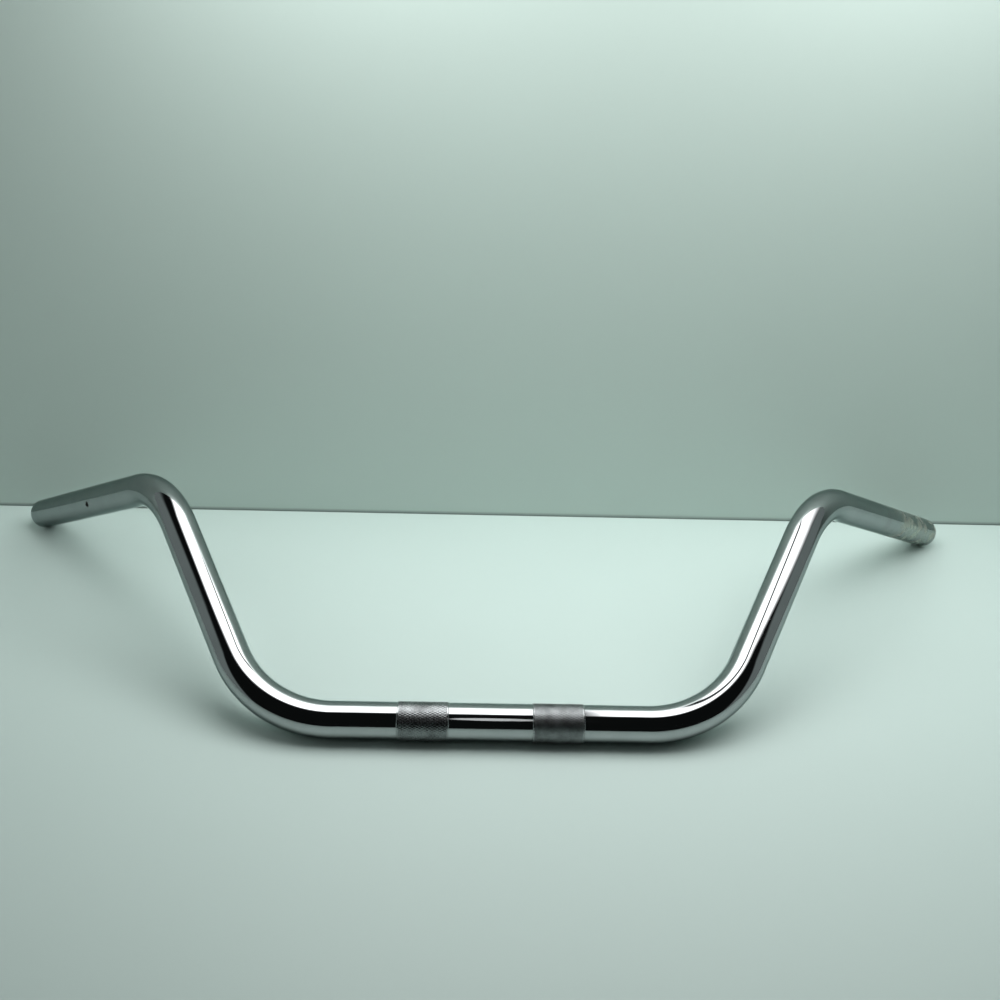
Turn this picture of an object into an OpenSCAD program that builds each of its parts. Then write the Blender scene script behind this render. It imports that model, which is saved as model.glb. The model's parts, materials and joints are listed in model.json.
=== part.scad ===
// A one-piece tubular handlebar for a motorcycle: a steel tube bent four times,
// with two raised bands where the clamps grip it. It is laid out as a tube bender
// makes it: a straight, a bend, a straight, a turn of the bending plane, a bend.
// X runs along the clamp section, +Y towards the rider and +Z up. The bar lies as
// it rests on a table, on its clamp bands and the ends of its two grips.

/* [Tube] */
// Outside diameter of the tube
tube_d = 22.2; // [19:0.1:32]
// Thickness of the tube's wall
wall_t = 2; // [1.2:0.1:4]

/* [Bends] */
// Straight length between the two lower bends
clamp_len = 186; // [140:1:260]
// Angle of each lower bend, from the clamp section into the riser
lower_angle = 62.9; // [30:0.1:90]
// Radius of the lower bends, to the middle of the tube
lower_r = 72; // [45:1:120]
// Straight length of each riser, between its two bends
riser_len = 100; // [40:1:180]
// Turn of the bending plane between a lower and an upper bend
plane_angle = 124.9; // [95:0.1:150]
// Angle of each upper bend, from the riser into the grip
upper_angle = 57.2; // [30:0.1:90]
// Radius of the upper bends, to the middle of the tube
upper_r = 62; // [45:1:120]
// Straight length of each grip, from its bend to the cut end
grip_len = 167; // [125:1:240]

/* [Cut ends] */
// Chamfer around the outside of each cut end
end_chamfer = 1; // [0.3:0.1:1.2]
// Chamfer around each mouth of the bore
bore_chamfer = 0.5; // [0.2:0.1:0.7]

/* [Clamp bands] */
// Height of the bands above the tube
band_raise = 0.35; // [0.2:0.05:1]
// Width of each band
band_w = 30.4; // [18:0.1:40]
// Distance between the middles of the two bands
band_spacing = 79.5; // [60:0.5:100]
// Chamfer at the edges of each band
band_chamfer = 0.3; // [0.1:0.05:0.5]
// Width of the plain land at each edge of a band
land_w = 0.9; // [0.6:0.1:3]
// Length of a knurl's diamond along the bar
knurl_len = 2.9; // [2:0.1:6]
// Width of a knurl's diamond around the bar
knurl_w = 1.5; // [1.4:0.1:3]
// Height of the diamonds above the grooves between them
knurl_depth = 0.3; // [0.1:0.05:0.4]

/* [Switch hole] */
// Diameter of the hole that locates a switch housing on the left grip
hole_d = 4; // [3:0.1:6]
// Distance of the hole from the left cut end
hole_from_end = 105; // [60:1:120]
// Turn of the hole around the grip, from the inside of the upper bend to the front
hole_angle = 73.5; // [0:0.5:180]

/* [Hidden] */
$fn = 96;
tube_r = tube_d / 2;
bore_r = tube_r - wall_t;
band_r = tube_r + band_raise;
cut_over = 1;
bend_relief = 0.01;
bend_lap = 0.3;
knurl_relief = 0.02;
steel_colour = [0.74, 0.75, 0.75];

// A frame is a point on the tube's middle line, the heading there, and the side
// that the next bend curves towards
function forward(f, len) = [f[0] + len * f[1], f[1], f[2]];
function bent(f, angle, r) = [
    f[0] + r * sin(angle) * f[1] + r * (1 - cos(angle)) * f[2],
    cos(angle) * f[1] + sin(angle) * f[2],
    cos(angle) * f[2] - sin(angle) * f[1]
];
function turned(f, angle) =
    [f[0], f[1], cos(angle) * f[2] + sin(angle) * cross(f[1], f[2])];

// The right half, from the end of the clamp section to the cut end of the grip
clamp_end = [[clamp_len / 2, 0, 0], [1, 0, 0], [0, 0, 1]];
riser_start = bent(clamp_end, lower_angle, lower_r);
riser_end = turned(forward(riser_start, riser_len), -plane_angle);
grip_start = bent(riser_end, upper_angle, upper_r);
grip_end = forward(grip_start, grip_len);

// The bar rolls about the clamp section until the edges of its cut ends are level
// with the underside of the bands, which is how it rests on a flat surface
end_edge = forward(grip_end, -end_chamfer)[0];
end_reach = norm([end_edge.y, end_edge.z]);
end_bearing = atan2(end_edge.y, end_edge.z);
roll_steps = 8;
function slope(roll) = grip_end[1].y * sin(roll) + grip_end[1].z * cos(roll);
function edge_height(roll) = tube_r * sqrt(1 - pow(slope(roll), 2)) - band_r;
function resting(roll, steps) =
    steps == 0 ? roll
    : resting(end_bearing - acos(edge_height(roll) / end_reach), steps - 1);
rest_roll = resting(end_bearing - 90, roll_steps);

// Puts what is drawn along +Z, with its bend towards +X, at a frame
module at(f) {
    across = cross(f[1], f[2]);
    multmatrix([for (i = [0:2]) [f[2][i], across[i], f[1][i], f[0][i]]]) children();
}

// A bend from the origin along +Z that curves towards +X. It laps into the two
// straights and is a hair slimmer, as drawn bends are, so their ends stay crisp
module bend(angle, bend_r, r) {
    lap = bend_lap / bend_r * 180 / PI;
    translate([bend_r, 0, 0])
        rotate([90, 0, 180])
            rotate_extrude(angle = angle + 2 * lap, start = -lap)
                translate([bend_r, 0]) circle(r = r - bend_relief);
}

// Everything from the clamp section up to the start of the right grip
module riser(r) {
    at(clamp_end) bend(lower_angle, lower_r, r);
    at(riser_start) cylinder(h = riser_len, r = r);
    at(riser_end) bend(upper_angle, upper_r, r);
}

module both_sides() {
    children();
    mirror([1, 0, 0]) children();
}

module clamp_section(r) {
    translate([-clamp_len / 2, 0, 0]) rotate([0, 90, 0]) cylinder(h = clamp_len, r = r);
}

// A grip's outer form, with the chamfer of its cut end
module grip() {
    at(grip_start) {
        cylinder(h = grip_len - end_chamfer, r = tube_r);
        translate([0, 0, grip_len - end_chamfer])
            cylinder(h = end_chamfer, r1 = tube_r, r2 = tube_r - end_chamfer);
    }
}

// The bore of a grip, open and chamfered at the cut end
module grip_bore() {
    at(grip_start) {
        cylinder(h = grip_len + cut_over, r = bore_r);
        translate([0, 0, grip_len - bore_chamfer])
            cylinder(
                h = bore_chamfer + cut_over,
                r1 = bore_r, r2 = bore_r + bore_chamfer + cut_over
            );
    }
}

// One plain land of a band, chamfered at its outer edge, with its inner edge at x = 0
module band_land() {
    rotate([0, 90, 0]) rotate_extrude() polygon([
        [bore_r + wall_t / 2, 0],
        [band_r, 0],
        [band_r, land_w - band_chamfer],
        [band_r - band_chamfer, land_w],
        [bore_r + wall_t / 2, land_w]
    ]);
}

// A sleeve of pointed diamonds in staggered rows. Its grid has two steps to each
// diamond: where the step numbers sum to an odd number lies a point, and where they
// sum to an even number two grooves cross. Its ends are tucked into the lands
module knurl() {
    steps_round = 2 * round(PI * band_r * 2 / knurl_w);
    steps_along = 2 * round((band_w - 2 * land_w) / knurl_len) + 1;
    sleeve_w = band_w - land_w;
    top_r = band_r - knurl_relief;
    rings = [for (row = [-1:steps_along + 1]) [
        for (i = [0:steps_round - 1])
            let (
                inner = row < 0 || row > steps_along,
                odd = (i + row) % 2 != 0,
                r = inner ? bore_r + wall_t / 2 : odd ? top_r : top_r - knurl_depth,
                angle = 360 * i / steps_round
            )
            [
                sleeve_w * (min(max(row, 0), steps_along) / steps_along - 0.5),
                r * cos(angle), r * sin(angle)
            ]
    ]];
    last = steps_along + 2;
    polyhedron(
        points = [for (points = rings) each points],
        faces = [
            for (row = [0:last]) for (i = [0:steps_round - 1])
                let (
                    on = (i + 1) % steps_round,
                    up = (row + 1) % (last + 1),
                    a = row * steps_round + i,
                    b = row * steps_round + on,
                    c = up * steps_round + on,
                    d = up * steps_round + i
                )
                each (i + row) % 2 != 0 ? [[a, c, b], [a, d, c]] : [[a, d, b], [b, d, c]]
        ]
    );
}

module clamp_band() {
    for (side = [0, 1]) mirror([side, 0, 0])
        translate([band_w / 2 - land_w, 0, 0]) band_land();
    knurl();
}

module switch_hole() {
    at(forward(grip_end, -hole_from_end))
        rotate([0, 0, -hole_angle]) rotate([0, 90, 0])
            cylinder(h = tube_r + cut_over, r = hole_d / 2);
}

module handlebar() {
    color(steel_colour) rotate([rest_roll, 0, 0]) difference() {
        union() {
            clamp_section(tube_r);
            for (side = [-1, 1]) translate([side * band_spacing / 2, 0, 0]) clamp_band();
            both_sides() {
                riser(tube_r);
                grip();
            }
        }
        clamp_section(bore_r);
        both_sides() {
            riser(bore_r);
            grip_bore();
        }
        mirror([1, 0, 0]) switch_hole();
    }
}

handlebar();
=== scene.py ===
"""A chrome motorcycle handlebar lying on a pale table in front of a pale board.

The bar is one tube with four bends. Its course and its resting angle follow the
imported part, and its skin, bore, knurled bands, chamfered ends and switch hole are
made here as fine meshes. All lengths are in metres.
"""
import json
import math
from collections import namedtuple

import bmesh
import bpy
from mathutils import Matrix, Vector


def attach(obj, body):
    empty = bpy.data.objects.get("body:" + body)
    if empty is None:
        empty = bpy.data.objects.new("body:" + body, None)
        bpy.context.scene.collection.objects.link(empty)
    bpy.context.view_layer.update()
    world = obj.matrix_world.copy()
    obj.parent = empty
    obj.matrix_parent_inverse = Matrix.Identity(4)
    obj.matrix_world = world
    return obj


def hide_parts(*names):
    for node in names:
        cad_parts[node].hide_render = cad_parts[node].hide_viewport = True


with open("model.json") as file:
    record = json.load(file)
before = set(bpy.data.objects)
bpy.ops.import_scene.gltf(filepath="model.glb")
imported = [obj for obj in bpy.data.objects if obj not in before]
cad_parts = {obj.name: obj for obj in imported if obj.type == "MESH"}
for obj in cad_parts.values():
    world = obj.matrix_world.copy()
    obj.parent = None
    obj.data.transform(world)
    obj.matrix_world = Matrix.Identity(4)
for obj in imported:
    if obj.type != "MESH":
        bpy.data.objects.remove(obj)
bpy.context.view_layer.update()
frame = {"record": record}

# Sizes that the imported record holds
mounts = {mount["name"]: mount for mount in frame["record"]["mounts"]}
TUBE_R = mounts["right_grip"]["dims"]["r_mm"] / 1000
BORE_R = mounts["right_bar_end"]["dims"]["r_mm"] / 1000
BAND_R = mounts["clamp_seats"]["dims"]["r_mm"] / 1000
HOLE_R = mounts["switch_hole"]["dims"]["r_mm"] / 1000
GRIP_AXIS = Vector(mounts["right_grip"]["axis"])
HOLE_AT = Vector(mounts["switch_hole"]["pos_m"])
HOLE_AXIS = Vector(mounts["switch_hole"]["axis"])

# The tube's course, as a bender makes it
CLAMP_LEN = 0.186
LOWER_ANGLE = math.radians(62.9)
LOWER_R = 0.072
RISER_LEN = 0.100
PLANE_TURN = math.radians(-124.9)
UPPER_ANGLE = math.radians(57.2)
UPPER_R = 0.062
GRIP_LEN = 0.167

# The cut ends. The lip is the length over which an end has rings of its own, and its
# last strips already belong to the bore
END_CHAMFER = 0.001
BORE_CHAMFER = 0.0005
EDGE_ROUND = 0.00025
END_LIP = 3 * END_CHAMFER
BORE_STRIPS = 2

# The hole in the left grip, and the small chamfer around it
HOLE_FROM_END = 0.105
HOLE_RIM = 0.0002

# The knurled bands. Depth and flat are a diamond's, and the land is the plain rim
BAND_W = 0.0304
BAND_SPACING = 0.0795
BAND_CHAMFER = 0.0003
BAND_LAND = 0.0009
KNURLS_AROUND = 48
KNURL_LENGTH = 0.0029
KNURL_DEPTH = 0.0001
KNURL_FLAT = 0.45

# How fine the meshes are
AROUND = 160
CELL_ANGLE = 2 * math.pi / AROUND
BEND_STEP = math.radians(1.3)
STRAIGHT_STEP = 0.012
CORNER_STEPS = 3
BAND_AROUND = 9 * KNURLS_AROUND
BAND_ROWS = 168
HOLE_CELLS = 16
HOLE_CELL = TUBE_R * CELL_ANGLE
HOLE_RINGS = 5
SHARP_ANGLE = math.radians(32)

# Places of the tube's two finishes among its materials
CHROME = 0
STEEL = 1

# The camera, fitted to the photograph. The focal length is a share of the sensor
CAMERA_AT = Vector((-0.01420, -0.49350, 0.39800))
CAMERA_YAW = math.radians(1.750)
CAMERA_PITCH = math.radians(26.910)
CAMERA_ROLL = math.radians(-2.065)
FOCAL_SHARE = 1.0506
SENSOR_MM = 36
CLIP_START = 0.01

# The table, the board behind it and a thin sheet of painted shade along the seam between them.
# The front is where the painted shade on both surfaces is at its darkest
TABLE_Z = -BAND_R
TABLE_SIDE = 0.9
TABLE_BACK = 1.6
BOARD_Y = 0.2845
BOARD_SLANT = 0.0039
BOARD_TOP = 0.40
BOARD_REACH = 1.6
SEAM_HEIGHT = 0.0032
SEAM_AHEAD = 0.0002
FRONT_Y = -0.2
FRONT_PAINTED_SHADE = 0.70

# Colours, as linear light
CHROME_COLOUR = (0.415, 0.43, 0.435)
CHROME_HAZE = (0.37, 0.385, 0.39)
CHROME_EDGE = (0.44, 0.50, 0.49)
SCUFF_COLOUR = (0.47, 0.50, 0.43)
STAIN_COLOUR = (0.38, 0.34, 0.31)
KNURL_COLOUR = (0.21, 0.222, 0.225)
KNURL_DULL = (0.11, 0.116, 0.118)
LAND_COLOUR = (0.30, 0.312, 0.316)
STEEL_COLOUR = (0.30, 0.29, 0.28)
RUST_COLOUR = (0.16, 0.09, 0.05)
TABLE_COLOUR = (0.627, 0.765, 0.722)
BOARD_COLOUR = (0.55, 0.665, 0.617)
SEAM_PAINTED_SHADE = (0.12, 0.16, 0.145)
MOTTLE_GAIN = 1.03

# Roughness, and what wear adds to it. A range runs from clean to hazy or rusty
CHROME_ROUGH = (0.04, 0.09)
WORN_ROUGH = 0.22
SCRATCH_SHARE = 0.35
GRIP_ROUGH = 0.075
KNURL_ROUGH = (0.20, 0.32)
RIGHT_BAND_ROUGH = 0.10
LAND_SMOOTHING = 0.10
STEEL_ROUGH = (0.42, 0.8)
TABLE_ROUGH = 0.55
BOARD_ROUGH = 0.7
SEAM_ROUGH = 0.8

# How metallic the bore is, and how much of the metal the scuffs hide
STEEL_METAL = 0.85
SCUFF_MATT = 0.35

# The scuffed patch near the right cut end: its middle, its reach and its worst part
SCUFF_FROM_END = 0.012
SCUFF_AT = Vector(mounts["right_bar_end"]["pos_m"]) - GRIP_AXIS * SCUFF_FROM_END
SCUFF_REACH = 0.075
SCUFF_CORE = SCUFF_REACH / 3

# How far out along the bar the plate starts to dull under the hands, and is at its dullest
GRIP_WEAR_FROM_TO = (0.255, 0.30)

# How far from the bar's middle the left band's finish has turned into the right one's,
# and the share of a land over which its own finish comes in
BAND_CHANGE = 0.01
LAND_BLEND = 0.2

# Noise over a surface: cells to the metre, detail, the part of the noise's range that
# shows from not at all to fully, the stretch along each axis and its roughness
Pattern = namedtuple(
    "Pattern", "scale detail low high stretch roughness", defaults=(0, 1, (1, 1, 1), 0.55)
)
HAZE = Pattern(55, 5, 0.42, 0.75)
SCRATCHES = Pattern(260, 6, 0.56, 0.74, stretch=(0.25, 1.6, 1.6), roughness=0.7)
SCUFFS = Pattern(90, 3, 0.38, 0.62)
STAINS = Pattern(40, 1, 0.35, 0.65)
RIPPLES = Pattern(38, 2)
KNURL_GRIME = Pattern(140, 4, 0.4, 0.7)
KNURL_GRAIN = Pattern(900, 4, 0.35, 0.7)
KNURL_PITS = Pattern(2500, 3)
RUST = Pattern(180, 6, 0.55, 0.72, roughness=0.7)
DRAW_MARKS = Pattern(700, 5, stretch=(0.3, 1, 1))
MOTTLE = Pattern(6, 2)

# Depth of the patterns that are relief
RIPPLE_DEPTH = 0.00006
KNURL_PIT_DEPTH = 0.00003
DRAW_MARK_DEPTH = 0.00008

# The room around, by direction: grey walls up to a height that drops towards the
# front, and near darkness above them. A height here is a direction's Z
ROOM_COLOUR = (0.86, 1.0, 0.98)
ROOM_LEVEL = 0.008
WALL_LEVEL = 0.27
WALL_CAP = 0.75
WALL_SIDE = 1.2
WALL_RISE = 2.0
WALL_FADE = 0.08

# The two panels overhead, and the shares of a panel over which it dims at each edge.
# The edges are the panel's own: those of a panel that faces straight down lie as their
# names say, and the front edge of the strip behind the bar is its lowest
OVERHEAD_Y = 0.225
OVERHEAD_Z = 0.53
OVERHEAD_DEPTH = 0.58
Fades = namedtuple("Fades", "left right front back")


class Station:
    """A point on the tube's middle line, the heading there and the side it bends to.

    seam is the angle from that side to the first point of a ring around the tube,
    kept so that the rings of neighbouring stations aren't twisted.
    """

    def __init__(self, point, heading, side, seam=0.0):
        self.point = point
        self.heading = heading
        self.side = side
        self.seam = seam

    def across(self):
        """The direction square to both the heading and the side."""
        return self.heading.cross(self.side)

    def forward(self, length):
        """The station further along a straight."""
        point = self.point + self.heading * length
        return Station(point, self.heading, self.side, self.seam)

    def bent(self, angle, radius):
        """The station further around a bend."""
        along = self.heading * math.sin(angle) + self.side * (1 - math.cos(angle))
        heading = self.heading * math.cos(angle) + self.side * math.sin(angle)
        side = self.side * math.cos(angle) - self.heading * math.sin(angle)
        return Station(self.point + along * radius, heading, side, self.seam)

    def turned(self, angle):
        """The same place, with the side it bends to turned around the tube."""
        side = self.side * math.cos(angle) + self.across() * math.sin(angle)
        return Station(self.point, self.heading, side, self.seam - angle)

    def moved(self, turn):
        """The station after a turn around the origin."""
        return Station(turn @ self.point, turn @ self.heading, turn @ self.side, self.seam)

    def mirrored(self):
        """The same place on the left half, still heading to the right."""
        flip = Matrix.Diagonal((-1, 1, 1))
        return Station(flip @ self.point, -(flip @ self.heading), flip @ self.side, self.seam)

    def outward(self, angle):
        """The direction away from the middle line at an angle from the seam."""
        angle += self.seam
        return self.side * math.cos(angle) + self.across() * math.sin(angle)

    def angle_of(self, direction):
        """The angle from the seam to a direction."""
        return math.atan2(direction @ self.across(), direction @ self.side) - self.seam


def straight(start, length, marks=()):
    """Stations along a straight, without its end, with one at each marked length."""
    count = max(1, round(length / STRAIGHT_STEP))
    steps = [length * i / count for i in range(count)]
    if marks:
        clear = STRAIGHT_STEP / 4
        steps = [x for x in steps if x < marks[0] - clear or x > marks[-1] + clear]
    return [start.forward(x) for x in sorted([*steps, *marks])]


def bend(start, angle, radius):
    """Stations around a bend, without its end."""
    count = max(1, round(angle / BEND_STEP))
    return [start.bent(angle * i / count, radius) for i in range(count)]


def half_course(grip_marks=()):
    """Stations of the right half, from the middle to the cut end, before the roll."""
    at = Station(Vector((0, 0, 0)), Vector((1, 0, 0)), Vector((0, 0, 1)))
    course = straight(at, CLAMP_LEN / 2)
    at = at.forward(CLAMP_LEN / 2)
    course += bend(at, LOWER_ANGLE, LOWER_R)
    at = at.bent(LOWER_ANGLE, LOWER_R)
    course += straight(at, RISER_LEN)
    at = at.forward(RISER_LEN).turned(PLANE_TURN)
    course += bend(at, UPPER_ANGLE, UPPER_R)
    at = at.bent(UPPER_ANGLE, UPPER_R)
    course += straight(at, GRIP_LEN, grip_marks)
    return course + [at.forward(GRIP_LEN)]


def whole_course():
    """Stations from the left cut end to the right one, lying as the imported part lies."""
    hole_at = GRIP_LEN - HOLE_FROM_END
    marks = [hole_at + HOLE_CELL * (i - HOLE_CELLS // 2) for i in range(HOLE_CELLS + 1)]
    end = half_course()[-1]
    roll = math.atan2(GRIP_AXIS.z, GRIP_AXIS.y) - math.atan2(end.heading.z, end.heading.y)
    turn = Matrix.Rotation(roll, 3, "X")
    right = [station.moved(turn) for station in half_course()]
    left = [station.moved(turn).mirrored() for station in half_course(marks)[1:]]
    return left[::-1] + right


def rounded(profile, radius):
    """A profile with each inner corner replaced by a short curve."""
    points = [Vector(profile[0])]
    for before, corner, after in zip(profile, profile[1:], profile[2:]):
        corner = Vector(corner)
        back = (Vector(before) - corner).normalized() * radius
        on = (Vector(after) - corner).normalized() * radius
        for i in range(CORNER_STEPS + 1):
            share = i / CORNER_STEPS
            points.append(corner + back * (1 - share) ** 2 + on * share ** 2)
    points.append(Vector(profile[-1]))
    return points


class Skin:
    """Vertices and faces that become one mesh, each face with its material."""

    def __init__(self):
        self.points = []
        self.faces = []
        self.finishes = []

    def add(self, points):
        """Adds points and returns their numbers."""
        first = len(self.points)
        self.points += points
        return list(range(first, len(self.points)))

    def join(self, one, other, finish, skipped=()):
        """Adds quads between two closed loops of as many vertices."""
        count = len(one)
        for i in range(count):
            if i in skipped:
                continue
            on = (i + 1) % count
            self.faces.append((one[i], one[on], other[on], other[i]))
            self.finishes.append(finish)

    def make(self, name, materials):
        """The mesh object, smooth apart from its sharp edges."""
        mesh = bpy.data.meshes.new(name)
        mesh.from_pydata([tuple(point) for point in self.points], [], self.faces)
        mesh.polygons.foreach_set("material_index", self.finishes)
        facing = bmesh.new()
        facing.from_mesh(mesh)
        bmesh.ops.recalc_face_normals(facing, faces=facing.faces)
        facing.to_mesh(mesh)
        facing.free()
        mesh.shade_smooth()
        mesh.set_sharp_from_angle(angle=SHARP_ANGLE)
        for material in materials:
            mesh.materials.append(material)
        piece = bpy.data.objects.new(name, mesh)
        bpy.context.scene.collection.objects.link(piece)
        return piece


def ring(station, radius, offset):
    """Points around the tube at a station, from its seam plus an offset."""
    angles = [offset + i * CELL_ANGLE for i in range(AROUND)]
    return [station.point + station.outward(angle) * radius for angle in angles]


class Hole:
    """The switch hole, and the square block of cells around it that it replaces."""

    def __init__(self, end, rings):
        """end is the station at the left cut end, and rings those that carry the skin."""
        self.station = end.forward((HOLE_AT - end.point) @ end.heading)
        angle = self.station.angle_of(HOLE_AXIS)
        self.column = math.floor(angle / CELL_ANGLE)
        self.offset = angle - self.column * CELL_ANGLE
        start = -HOLE_CELL * (HOLE_CELLS / 2 + 0.5)
        self.first_row = next(i for i, at in enumerate(rings) if self.along(at) > start)

    def along(self, station):
        """How far along the grip a station lies from the middle of the hole."""
        return (station.point - self.station.point) @ self.station.heading

    def columns(self):
        """The block's columns of vertices around the tube."""
        first = self.column - HOLE_CELLS // 2
        return [(first + i) % AROUND for i in range(HOLE_CELLS + 1)]

    def rows(self):
        """The block's rows of vertices along the tube."""
        return range(self.first_row, self.first_row + HOLE_CELLS + 1)

    def point(self, lateral, along, radius):
        """A point of the cylinder of that radius, beside and along from the middle."""
        normal = self.station.outward(self.offset + self.column * CELL_ANGLE)
        tangent = self.station.heading.cross(normal)
        height = math.sqrt(radius ** 2 - lateral ** 2)
        return (
            self.station.point + self.station.heading * along
            + tangent * lateral + normal * height
        )

    def edge(self):
        """Steps around the block's edge, as (column, row) from its first corner."""
        n = HOLE_CELLS
        return (
            [(i, 0) for i in range(n)] + [(n, i) for i in range(n)]
            + [(n - i, n) for i in range(n)] + [(0, n - i) for i in range(n)]
        )

    def loop(self, radius, hole_r, share=1.0):
        """Points from the block's edge, share 0, to a circle of the hole, share 1."""
        half = HOLE_CELLS / 2
        points = []
        for column, row in self.edge():
            turn = math.atan2(row - half, column - half)
            from_lateral = radius * math.sin((column - half) * CELL_ANGLE)
            from_along = (row - half) * HOLE_CELL
            lateral = from_lateral * (1 - share) + hole_r * math.cos(turn) * share
            along = from_along * (1 - share) + hole_r * math.sin(turn) * share
            points.append(self.point(lateral, along, radius))
        return points

    def patch(self, skin, grid, radius, hole_r, finish):
        """Fills the block around a circle, and returns the circle's vertices."""
        columns, rows = self.columns(), self.rows()
        before = [grid[rows[row]][columns[column]] for column, row in self.edge()]
        for i in range(1, HOLE_RINGS + 1):
            inner = skin.add(self.loop(radius, hole_r, i / HOLE_RINGS))
            skin.join(before, inner, finish)
            before = inner
        return before


def cut_end(station, inwards):
    """Stations and radii over a cut end, from the skin to the bore."""
    profile = rounded([
        (-END_LIP, TUBE_R),
        (-END_CHAMFER, TUBE_R),
        (0, TUBE_R - END_CHAMFER),
        (0, BORE_R + BORE_CHAMFER),
        (-BORE_CHAMFER, BORE_R),
        (-END_LIP, BORE_R),
    ], EDGE_ROUND)
    return [(station.forward(x * inwards), radius) for x, radius in profile]


def tube():
    """The whole tube as one closed skin: outside, cut ends, bore and hole."""
    course = whole_course()
    rings = course[1:-1]
    hole = Hole(course[0], rings)
    skin = Skin()
    outside = [skin.add(ring(at, TUBE_R, hole.offset)) for at in rings]
    bore = [skin.add(ring(at, BORE_R, hole.offset)) for at in rings]
    right = [skin.add(ring(at, r, hole.offset)) for at, r in cut_end(course[-1], 1)]
    left = [skin.add(ring(at, r, hole.offset)) for at, r in cut_end(course[0], -1)]
    block = set(hole.columns()[:-1])
    for finish, surface in ((CHROME, outside), (STEEL, bore)):
        for row, (one, other) in enumerate(zip(surface, surface[1:])):
            drilled = row in hole.rows()[:-1]
            skin.join(one, other, finish, block if drilled else ())
    for lip, end in ((right, -1), (left, 0)):
        loops = [outside[end], *lip, bore[end]]
        plated = len(loops) - 1 - BORE_STRIPS
        for strip, (one, other) in enumerate(zip(loops, loops[1:])):
            skin.join(one, other, CHROME if strip < plated else STEEL)
    mouth = hole.patch(skin, outside, TUBE_R, HOLE_R + HOLE_RIM, CHROME)
    inner = hole.patch(skin, bore, BORE_R, HOLE_R, STEEL)
    rim = skin.add(hole.loop(TUBE_R - HOLE_RIM, HOLE_R))
    skin.join(mouth, rim, CHROME)
    skin.join(rim, inner, STEEL)
    return skin.make("bent_tube", [chrome(), bare_steel()])


def knurl_height(angle, x):
    """Height of the knurl, from 0 in a groove to 1 on the flat of a diamond."""
    around = angle * KNURLS_AROUND / (2 * math.pi)
    along = x / KNURL_LENGTH
    ridges = []
    for phase in (around + along, around - along):
        ridges.append(1 - abs(2 * (phase % 1) - 1))
    return min(1, min(ridges) / (1 - KNURL_FLAT))


def band_radius(angle, x):
    """A band's radius at an angle around it and a distance from its middle."""
    inset = BAND_W / 2 - abs(x)
    knurled = min(1, max(0, (inset - BAND_LAND) / KNURL_DEPTH))
    groove = KNURL_DEPTH * (1 - knurl_height(angle, x)) * knurled
    return BAND_R - max(0, BAND_CHAMFER - inset) - groove


def knurled_band(name, middle):
    """One raised band: a sleeve of diamonds between two plain chamfered lands.

    The sleeve is closed by a loop at each end that is buried in the tube's wall.
    """
    half = BAND_W / 2
    buried = BORE_R + (TUBE_R - BORE_R) / 2
    angles = [2 * math.pi * i / BAND_AROUND for i in range(BAND_AROUND)]
    profile = [-half + BAND_W * row / BAND_ROWS for row in range(BAND_ROWS + 1)]
    rows = [(x, [band_radius(angle, x) for angle in angles]) for x in profile]
    rows += [(x, [buried] * BAND_AROUND) for x in (half, -half)]
    skin = Skin()
    loops = []
    for x, radii in rows:
        loops.append(skin.add([
            Vector((middle + x, radius * math.cos(angle), radius * math.sin(angle)))
            for angle, radius in zip(angles, radii)
        ]))
    for one, other in zip(loops, loops[1:] + loops[:1]):
        skin.join(one, other, 0)
    return skin.make(name, [knurled_chrome()])


class Nodes:
    """A node tree, with short ways to add to it."""

    def __init__(self, tree):
        self.tree = tree

    def add(self, kind, **settings):
        """A new node of that kind."""
        node = self.tree.nodes.new(kind)
        for key, value in settings.items():
            setattr(node, key, value)
        return node

    def link(self, out, into):
        """Links an output to an input."""
        self.tree.links.new(out, into)

    def part(self, vector, axis):
        """The X, Y or Z of a vector output."""
        parts = self.add("ShaderNodeSeparateXYZ")
        self.link(vector, parts.inputs["Vector"])
        return parts.outputs[axis]

    def spread(self, value, low, high, to_low=0.0, to_high=1.0, ease="LINEAR"):
        """A value's range from low to high, mapped to another range and clamped."""
        node = self.add("ShaderNodeMapRange", interpolation_type=ease)
        node.inputs["From Min"].default_value = low
        node.inputs["From Max"].default_value = high
        node.inputs["To Min"].default_value = to_low
        node.inputs["To Max"].default_value = to_high
        self.link(value, node.inputs["Value"])
        return node.outputs["Result"]

    def math(self, operation, *values):
        """The result of an operation on numbers or outputs."""
        node = self.add("ShaderNodeMath", operation=operation)
        for value, socket in zip(values, node.inputs):
            if isinstance(value, (int, float)):
                socket.default_value = value
            else:
                self.link(value, socket)
        return node.outputs["Value"]

    def blend(self, share, one, other):
        """A colour between two colours or colour outputs."""
        node = self.add("ShaderNodeMix", data_type="RGBA")
        self.link(share, node.inputs["Factor"])
        for value, socket in ((one, node.inputs["A"]), (other, node.inputs["B"])):
            if isinstance(value, tuple):
                socket.default_value = (*value, 1)
            else:
                self.link(value, socket)
        return node.outputs["Result"]


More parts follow.
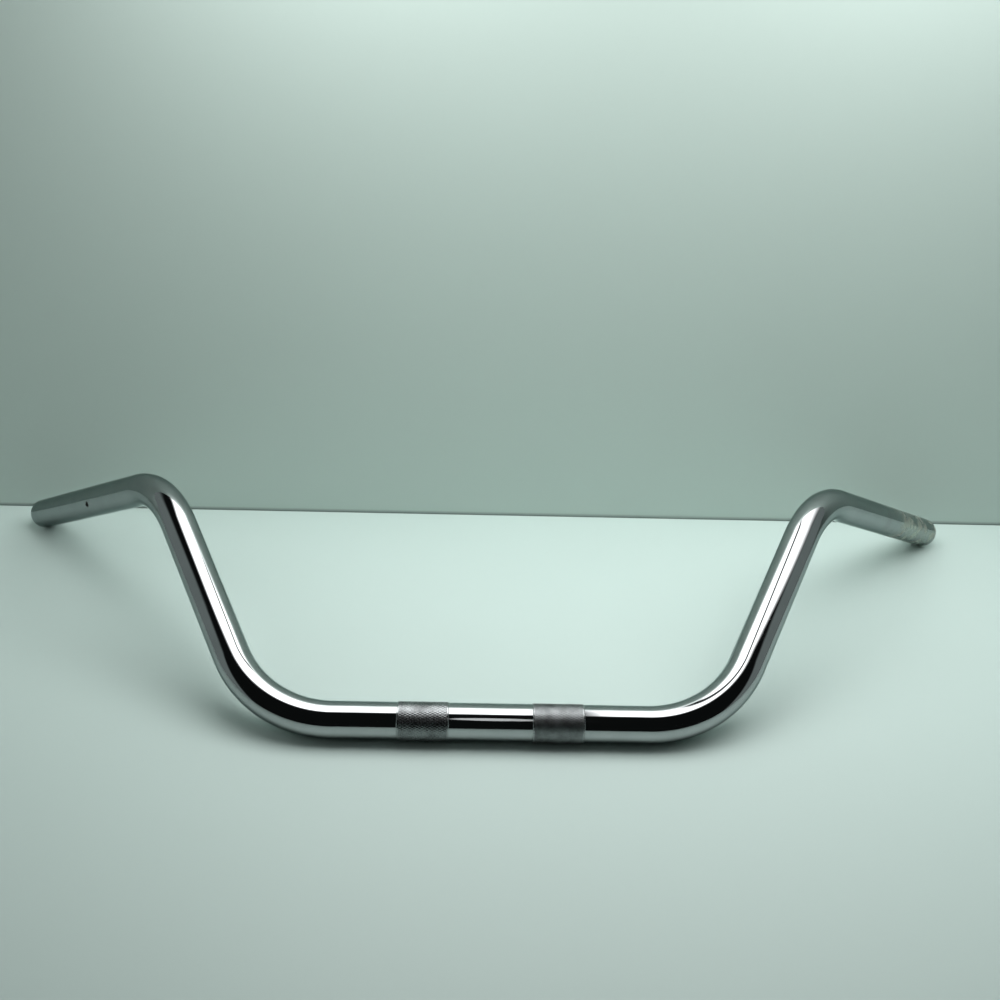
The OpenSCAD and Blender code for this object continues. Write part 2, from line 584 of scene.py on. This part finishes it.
class Surface(Nodes):
    """A new material's nodes: its shader, the place on the piece and noise over it."""

    def __init__(self, name):
        self.material = bpy.data.materials.new(name)
        self.material.use_nodes = True
        super().__init__(self.material.node_tree)
        self.shader = self.tree.nodes["Principled BSDF"]
        self.place = self.add("ShaderNodeTexCoord").outputs["Object"]

    def set(self, **inputs):
        """Sets shader inputs to numbers, colours or outputs, by names in snake case."""
        for name, value in inputs.items():
            socket = self.shader.inputs[name.replace("_", " ").title()]
            if isinstance(value, tuple):
                socket.default_value = (*value, 1)
            elif isinstance(value, (int, float)):
                socket.default_value = value
            else:
                self.link(value, socket)

    def noise(self, pattern):
        """A pattern's noise over the piece, all of its range."""
        mapping = self.add("ShaderNodeMapping")
        mapping.inputs["Scale"].default_value = pattern.stretch
        self.link(self.place, mapping.inputs["Vector"])
        noise = self.add("ShaderNodeTexNoise")
        noise.inputs["Scale"].default_value = pattern.scale
        noise.inputs["Detail"].default_value = pattern.detail
        noise.inputs["Roughness"].default_value = pattern.roughness
        self.link(mapping.outputs["Vector"], noise.inputs["Vector"])
        return noise.outputs["Fac"]

    def shown(self, pattern):
        """How far a pattern shows, from 0 to 1."""
        return self.spread(self.noise(pattern), pattern.low, pattern.high)

    def bump(self, pattern, depth):
        """Gives the surface a pattern's relief."""
        node = self.add("ShaderNodeBump")
        node.inputs["Distance"].default_value = depth
        node.inputs["Strength"].default_value = 1.0
        self.link(self.noise(pattern), node.inputs["Height"])
        self.link(node.outputs["Normal"], self.shader.inputs["Normal"])


def chrome():
    """Polished plate: faint haze and smudges, fine scratches, and a scuffed grip end."""
    plate = Surface("chrome_plate")
    haze = plate.shown(HAZE)
    distance = plate.add("ShaderNodeVectorMath", operation="DISTANCE")
    distance.inputs[1].default_value = SCUFF_AT
    plate.link(plate.place, distance.inputs[0])
    near = plate.spread(distance.outputs["Value"], SCUFF_REACH, SCUFF_CORE)
    scuffed = plate.math("MULTIPLY", near, plate.shown(SCUFFS))
    scratched = plate.math("MULTIPLY", plate.shown(SCRATCHES), SCRATCH_SHARE)
    worn = plate.math("MAXIMUM", scratched, scuffed)
    outward = plate.math("ABSOLUTE", plate.part(plate.place, "X"))
    rough = plate.spread(haze, 0, 1, *CHROME_ROUGH)
    rough = plate.math("ADD", rough, plate.math("MULTIPLY", worn, WORN_ROUGH))
    rough = plate.math("ADD", rough, plate.spread(outward, *GRIP_WEAR_FROM_TO, 0, GRIP_ROUGH))
    colour = plate.blend(haze, CHROME_COLOUR, CHROME_HAZE)
    stain = plate.blend(plate.shown(STAINS), SCUFF_COLOUR, STAIN_COLOUR)
    matt = plate.math("MULTIPLY", scuffed, SCUFF_MATT)
    plate.set(
        base_color=plate.blend(scuffed, colour, stain),
        roughness=rough,
        metallic=plate.math("SUBTRACT", 1, matt),
        specular_tint=CHROME_EDGE,
    )
    plate.bump(RIPPLES, RIPPLE_DEPTH)
    return plate.material


def knurled_chrome():
    """Plate over the knurl: duller, in faint grimy patches, with brighter plain lands.

    The right band is a little rougher than the left one.
    """
    plate = Surface("knurled_plate")
    x = plate.part(plate.place, "X")
    outward = plate.math("ABSOLUTE", x)
    from_middle = plate.math("ABSOLUTE", plate.math("SUBTRACT", outward, BAND_SPACING / 2))
    land_from = BAND_W / 2 - (1 + LAND_BLEND) * BAND_LAND
    land = plate.spread(from_middle, land_from, BAND_W / 2 - BAND_LAND)
    colour = plate.blend(plate.shown(KNURL_GRIME), KNURL_COLOUR, KNURL_DULL)
    grain = plate.spread(
        plate.noise(KNURL_GRAIN), KNURL_GRAIN.low, KNURL_GRAIN.high, *KNURL_ROUGH
    )
    to_right = plate.spread(x, -BAND_CHANGE, BAND_CHANGE, 0, RIGHT_BAND_ROUGH)
    smoother = plate.math("MULTIPLY", land, LAND_SMOOTHING)
    plate.set(
        base_color=plate.blend(land, colour, LAND_COLOUR),
        roughness=plate.math("SUBTRACT", plate.math("ADD", grain, to_right), smoother),
        metallic=1.0,
    )
    plate.bump(KNURL_PITS, KNURL_PIT_DEPTH)
    return plate.material


def bare_steel():
    """The unplated bore: dull drawn steel with a little rust."""
    steel = Surface("bare_steel")
    rust = steel.shown(RUST)
    steel.set(
        base_color=steel.blend(rust, STEEL_COLOUR, RUST_COLOUR),
        roughness=steel.spread(rust, 0, 1, *STEEL_ROUGH),
        metallic=STEEL_METAL,
    )
    steel.bump(DRAW_MARKS, DRAW_MARK_DEPTH)
    return steel.material


def pale(name, colour, roughness):
    """A matt stage surface with a very faint mottle, and painted shade that darkens it towards
    its front.
    """
    face = Surface(name)
    lighter = tuple(min(1, part * MOTTLE_GAIN) for part in colour)
    # Painted shade: the colour darkens towards the front, standing in for light that falls off
    # there
    painted_front_shade = tuple(part * FRONT_PAINTED_SHADE for part in colour)
    mottled = face.blend(face.noise(MOTTLE), colour, lighter)
    forward = face.spread(face.part(face.place, "Y"), BOARD_Y, FRONT_Y)
    face.set(base_color=face.blend(forward, mottled, painted_front_shade), roughness=roughness)
    return face.material


def painted_seam_shade():
    """Painted shade for the gap under the board, dark at the table and fading upward into the
    board's colour.
    """
    seam = Surface("painted_seam_shade")
    upward = seam.spread(seam.part(seam.place, "Z"), TABLE_Z, TABLE_Z + SEAM_HEIGHT)
    # Painted shade: dark where the sheet meets the table, fading upward into the board's colour
    seam.set(base_color=seam.blend(upward, SEAM_PAINTED_SHADE, BOARD_COLOUR), roughness=SEAM_ROUGH)
    return seam.material


def open_from_behind(material):
    """Lets a camera behind a one-sided surface look through it."""
    nodes = Nodes(material.node_tree)
    behind = nodes.add("ShaderNodeNewGeometry").outputs["Backfacing"]
    looked_at = nodes.add("ShaderNodeLightPath").outputs["Is Camera Ray"]
    mixed = nodes.add("ShaderNodeMixShader")
    nodes.link(nodes.math("MULTIPLY", behind, looked_at), mixed.inputs["Fac"])
    nodes.link(nodes.tree.nodes["Principled BSDF"].outputs["BSDF"], mixed.inputs[1])
    nodes.link(nodes.add("ShaderNodeBsdfTransparent").outputs["BSDF"], mixed.inputs[2])
    nodes.link(mixed.outputs["Shader"], nodes.tree.nodes["Material Output"].inputs["Surface"])
    return material


def flat_piece(name, corners, material):
    """A four-cornered sheet of the stage."""
    mesh = bpy.data.meshes.new(name)
    mesh.from_pydata(corners, [], [(0, 1, 2, 3)])
    mesh.materials.append(material)
    piece = bpy.data.objects.new(name, mesh)
    bpy.context.scene.collection.objects.link(piece)
    return piece


def upright_piece(name, top, ahead, material):
    """A sheet that stands on the table along the board's line, or just ahead of it."""
    left, right = -BOARD_REACH, BOARD_REACH
    left_y = BOARD_Y + BOARD_SLANT * left - ahead
    right_y = BOARD_Y + BOARD_SLANT * right - ahead
    return flat_piece(name, [
        (left, left_y, TABLE_Z), (right, right_y, TABLE_Z),
        (right, right_y, top), (left, left_y, top),
    ], open_from_behind(material))


def stage():
    """The table, a board that stands across it and a sheet of painted shade at the seam under
    the board.
    """
    flat_piece("table", [
        (-TABLE_SIDE, -TABLE_SIDE, TABLE_Z), (TABLE_SIDE, -TABLE_SIDE, TABLE_Z),
        (TABLE_SIDE, TABLE_BACK, TABLE_Z), (-TABLE_SIDE, TABLE_BACK, TABLE_Z),
    ], pale("table_top", TABLE_COLOUR, TABLE_ROUGH))
    upright_piece("board", BOARD_TOP, 0, pale("board_face", BOARD_COLOUR, BOARD_ROUGH))
    # This thin sheet carries painted shade for the gap under the board
    upright_piece("seam", TABLE_Z + SEAM_HEIGHT, SEAM_AHEAD, painted_seam_shade())


def room():
    """Dim surroundings: nearly black in front and overhead, grey around the rest."""
    world = bpy.data.worlds.new("dim_room")
    world.use_nodes = True
    nodes = Nodes(world.node_tree)
    direction = nodes.add("ShaderNodeTexCoord").outputs["Generated"]
    wall_top = nodes.math("MULTIPLY_ADD", nodes.part(direction, "Y"), WALL_RISE, WALL_SIDE)
    wall_top = nodes.math("MINIMUM", wall_top, WALL_CAP)
    above = nodes.math("SUBTRACT", nodes.part(direction, "Z"), wall_top)
    level = nodes.spread(above, -WALL_FADE, WALL_FADE, WALL_LEVEL, ROOM_LEVEL, "SMOOTHSTEP")
    background = nodes.tree.nodes["Background"]
    background.inputs["Color"].default_value = (*ROOM_COLOUR, 1)
    nodes.link(level, background.inputs["Strength"])
    bpy.context.scene.world = world


def fade_edges(light, fades):
    """Dims a panel towards its edges, by the place on the panel."""
    light.use_nodes = True
    nodes = Nodes(light.node_tree)
    place = nodes.add("ShaderNodeNewGeometry").outputs["Parametric"]
    level = 1.0
    for axis, near, far in (
        ("X", fades.left, 1 - fades.right),
        ("Y", fades.front, 1 - fades.back),
    ):
        along = nodes.part(place, axis)
        for edge, inner in ((0, near), (1, far)):
            ramp = nodes.spread(along, edge, inner, ease="SMOOTHSTEP")
            level = nodes.math("MULTIPLY", level, ramp)
    nodes.link(level, nodes.tree.nodes["Emission"].inputs["Strength"])


def panel(name, at, aim, size, power, shape="RECTANGLE", fades=None, gloss=True, matt=True):
    """A soft flat light that faces a point, and that no camera sees.

    gloss says whether it shows in glossy surfaces, and matt whether it lights matt ones.
    """
    light = bpy.data.lights.new(name, "AREA")
    light.shape = shape
    light.size, light.size_y = size
    light.energy = power
    if fades:
        fade_edges(light, fades)
    lamp = bpy.data.objects.new(name, light)
    lamp.location = at
    lamp.rotation_mode = "QUATERNION"
    lamp.rotation_quaternion = (Vector(aim) - Vector(at)).to_track_quat("-Z", "Y")
    lamp.visible_camera = False
    lamp.visible_glossy = gloss
    lamp.visible_diffuse = matt
    bpy.context.scene.collection.objects.link(lamp)


def lights():
    """Two dimming panels overhead with a dark gap between them, fill light from the
    sides, a strip behind the bar that only the chrome shows and a disc in front."""
    for name, x, width, power, fades in (
        ("overhead_left", -0.11, 0.39, 3.2, Fades(left=0.30, right=0.10, front=0.14, back=0.15)),
        ("overhead_right", 0.37, 0.53, 4.1, Fades(left=0.08, right=0.72, front=0.14, back=0.35)),
    ):
        panel(
            name, at=(x, OVERHEAD_Y, OVERHEAD_Z), aim=(x, OVERHEAD_Y, 0),
            size=(width, OVERHEAD_DEPTH), power=power, fades=fades,
        )
    for name, x, power in (("fill_left", -0.95, 1.5), ("fill_right", 0.75, 2.4)):
        panel(
            name, at=(x, 0.10, 0.75), aim=(0.67 * x, 0.15, 0),
            size=(0.6, 0.6), power=power, gloss=False,
        )
    panel(
        "board_fill", at=(-1.3, -0.3, 0.35), aim=(-1.2, 0.28, 0.15),
        size=(0.3, 0.3), power=1.4, gloss=False,
    )
    panel(
        "back_strip", at=(0, 0.22, 0.26), aim=(0, 0, 0), size=(0.56, 0.07), power=0.16,
        fades=Fades(left=0.3, right=0.3, front=0.5, back=0.1), matt=False,
    )
    panel(
        "front_disc", at=(0.03, -0.62, 0.9), aim=(0, 0, 0),
        size=(0.14, 0.29), power=0.11, shape="ELLIPSE",
    )


def camera():
    """The photograph's camera."""
    heading = Vector((
        math.sin(CAMERA_YAW) * math.cos(CAMERA_PITCH),
        math.cos(CAMERA_YAW) * math.cos(CAMERA_PITCH),
        -math.sin(CAMERA_PITCH),
    ))
    level = Vector((math.cos(CAMERA_YAW), -math.sin(CAMERA_YAW), 0))
    down = heading.cross(level)
    right = level * math.cos(CAMERA_ROLL) + down * math.sin(CAMERA_ROLL)
    up = level * math.sin(CAMERA_ROLL) - down * math.cos(CAMERA_ROLL)
    data = bpy.data.cameras.new("camera")
    data.sensor_width = SENSOR_MM
    data.lens = SENSOR_MM * FOCAL_SHARE
    data.clip_start = CLIP_START
    seen = bpy.data.objects.new("camera", data)
    axes = Matrix((right, up, -heading)).transposed().to_4x4()
    seen.matrix_world = Matrix.Translation(CAMERA_AT) @ axes
    bpy.context.scene.collection.objects.link(seen)
    bpy.context.scene.camera = seen


def dress():
    """Makes the visible pieces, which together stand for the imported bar."""
    pieces = [tube()]
    for side, name in ((-1, "knurled_band_left"), (1, "knurled_band_right")):
        pieces.append(knurled_band(name, side * BAND_SPACING / 2))
    for piece in pieces:
        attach(piece, "root")
        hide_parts("handlebar")


bpy.context.scene.view_settings.view_transform = "Standard"
camera()
dress()
stage()
room()
lights()
